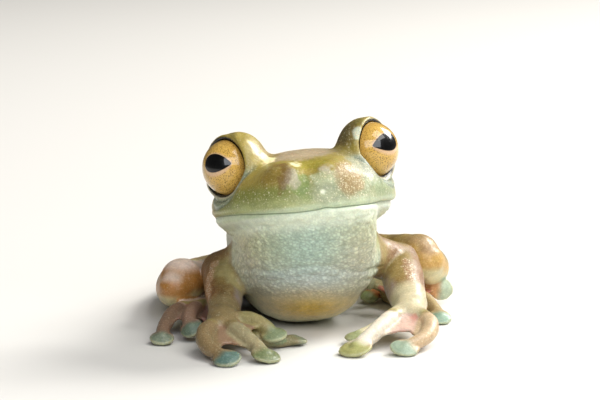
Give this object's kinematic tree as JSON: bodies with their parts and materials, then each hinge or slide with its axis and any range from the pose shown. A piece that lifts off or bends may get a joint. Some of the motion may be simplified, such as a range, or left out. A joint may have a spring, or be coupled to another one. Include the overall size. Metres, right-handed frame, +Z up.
{
  "type": "canal zone tree frog",
  "caption": "Life-size canal zone tree frog sitting on the floor, head raised and turned to face ahead, hands and feet spread on their discs; a still display model",
  "frame": {"origin": "on the floor, at the middle of the belly's flat", "axes": "+X to the frog's left, +Y back along the body, +Z up; the frog faces -Y"},
  "size_m": [0.0296, 0.0481, 0.0209],
  "materials": {
    "head_skin": "moist, satin",
    "throat_skin": "moist, satin",
    "body_skin": "moist, satin",
    "arm_skin": "moist, satin",
    "leg_skin": "moist, satin",
    "hand_skin": "moist, satin",
    "foot_skin": "moist, satin",
    "eye": "wet, glossy",
    "eardrum": "satin"
  },
  "bodies": {
    "root": {"head": "head_skin", "lower_jaw": "throat_skin", "torso": "body_skin", "eye_right": "eye", "eye_left": "eye", "eardrum_right": "eardrum", "eardrum_left": "eardrum", "upper_arm_right": "arm_skin", "forearm_right": "arm_skin", "hand_right": "hand_skin", "upper_arm_left": "arm_skin", "forearm_left": "arm_skin", "hand_left": "hand_skin", "thigh_right": "leg_skin", "shank_right": "leg_skin", "tarsus_right": "leg_skin", "foot_right": "foot_skin", "thigh_left": "leg_skin", "shank_left": "leg_skin", "tarsus_left": "leg_skin", "foot_left": "foot_skin"}
  },
  "joints": []
}
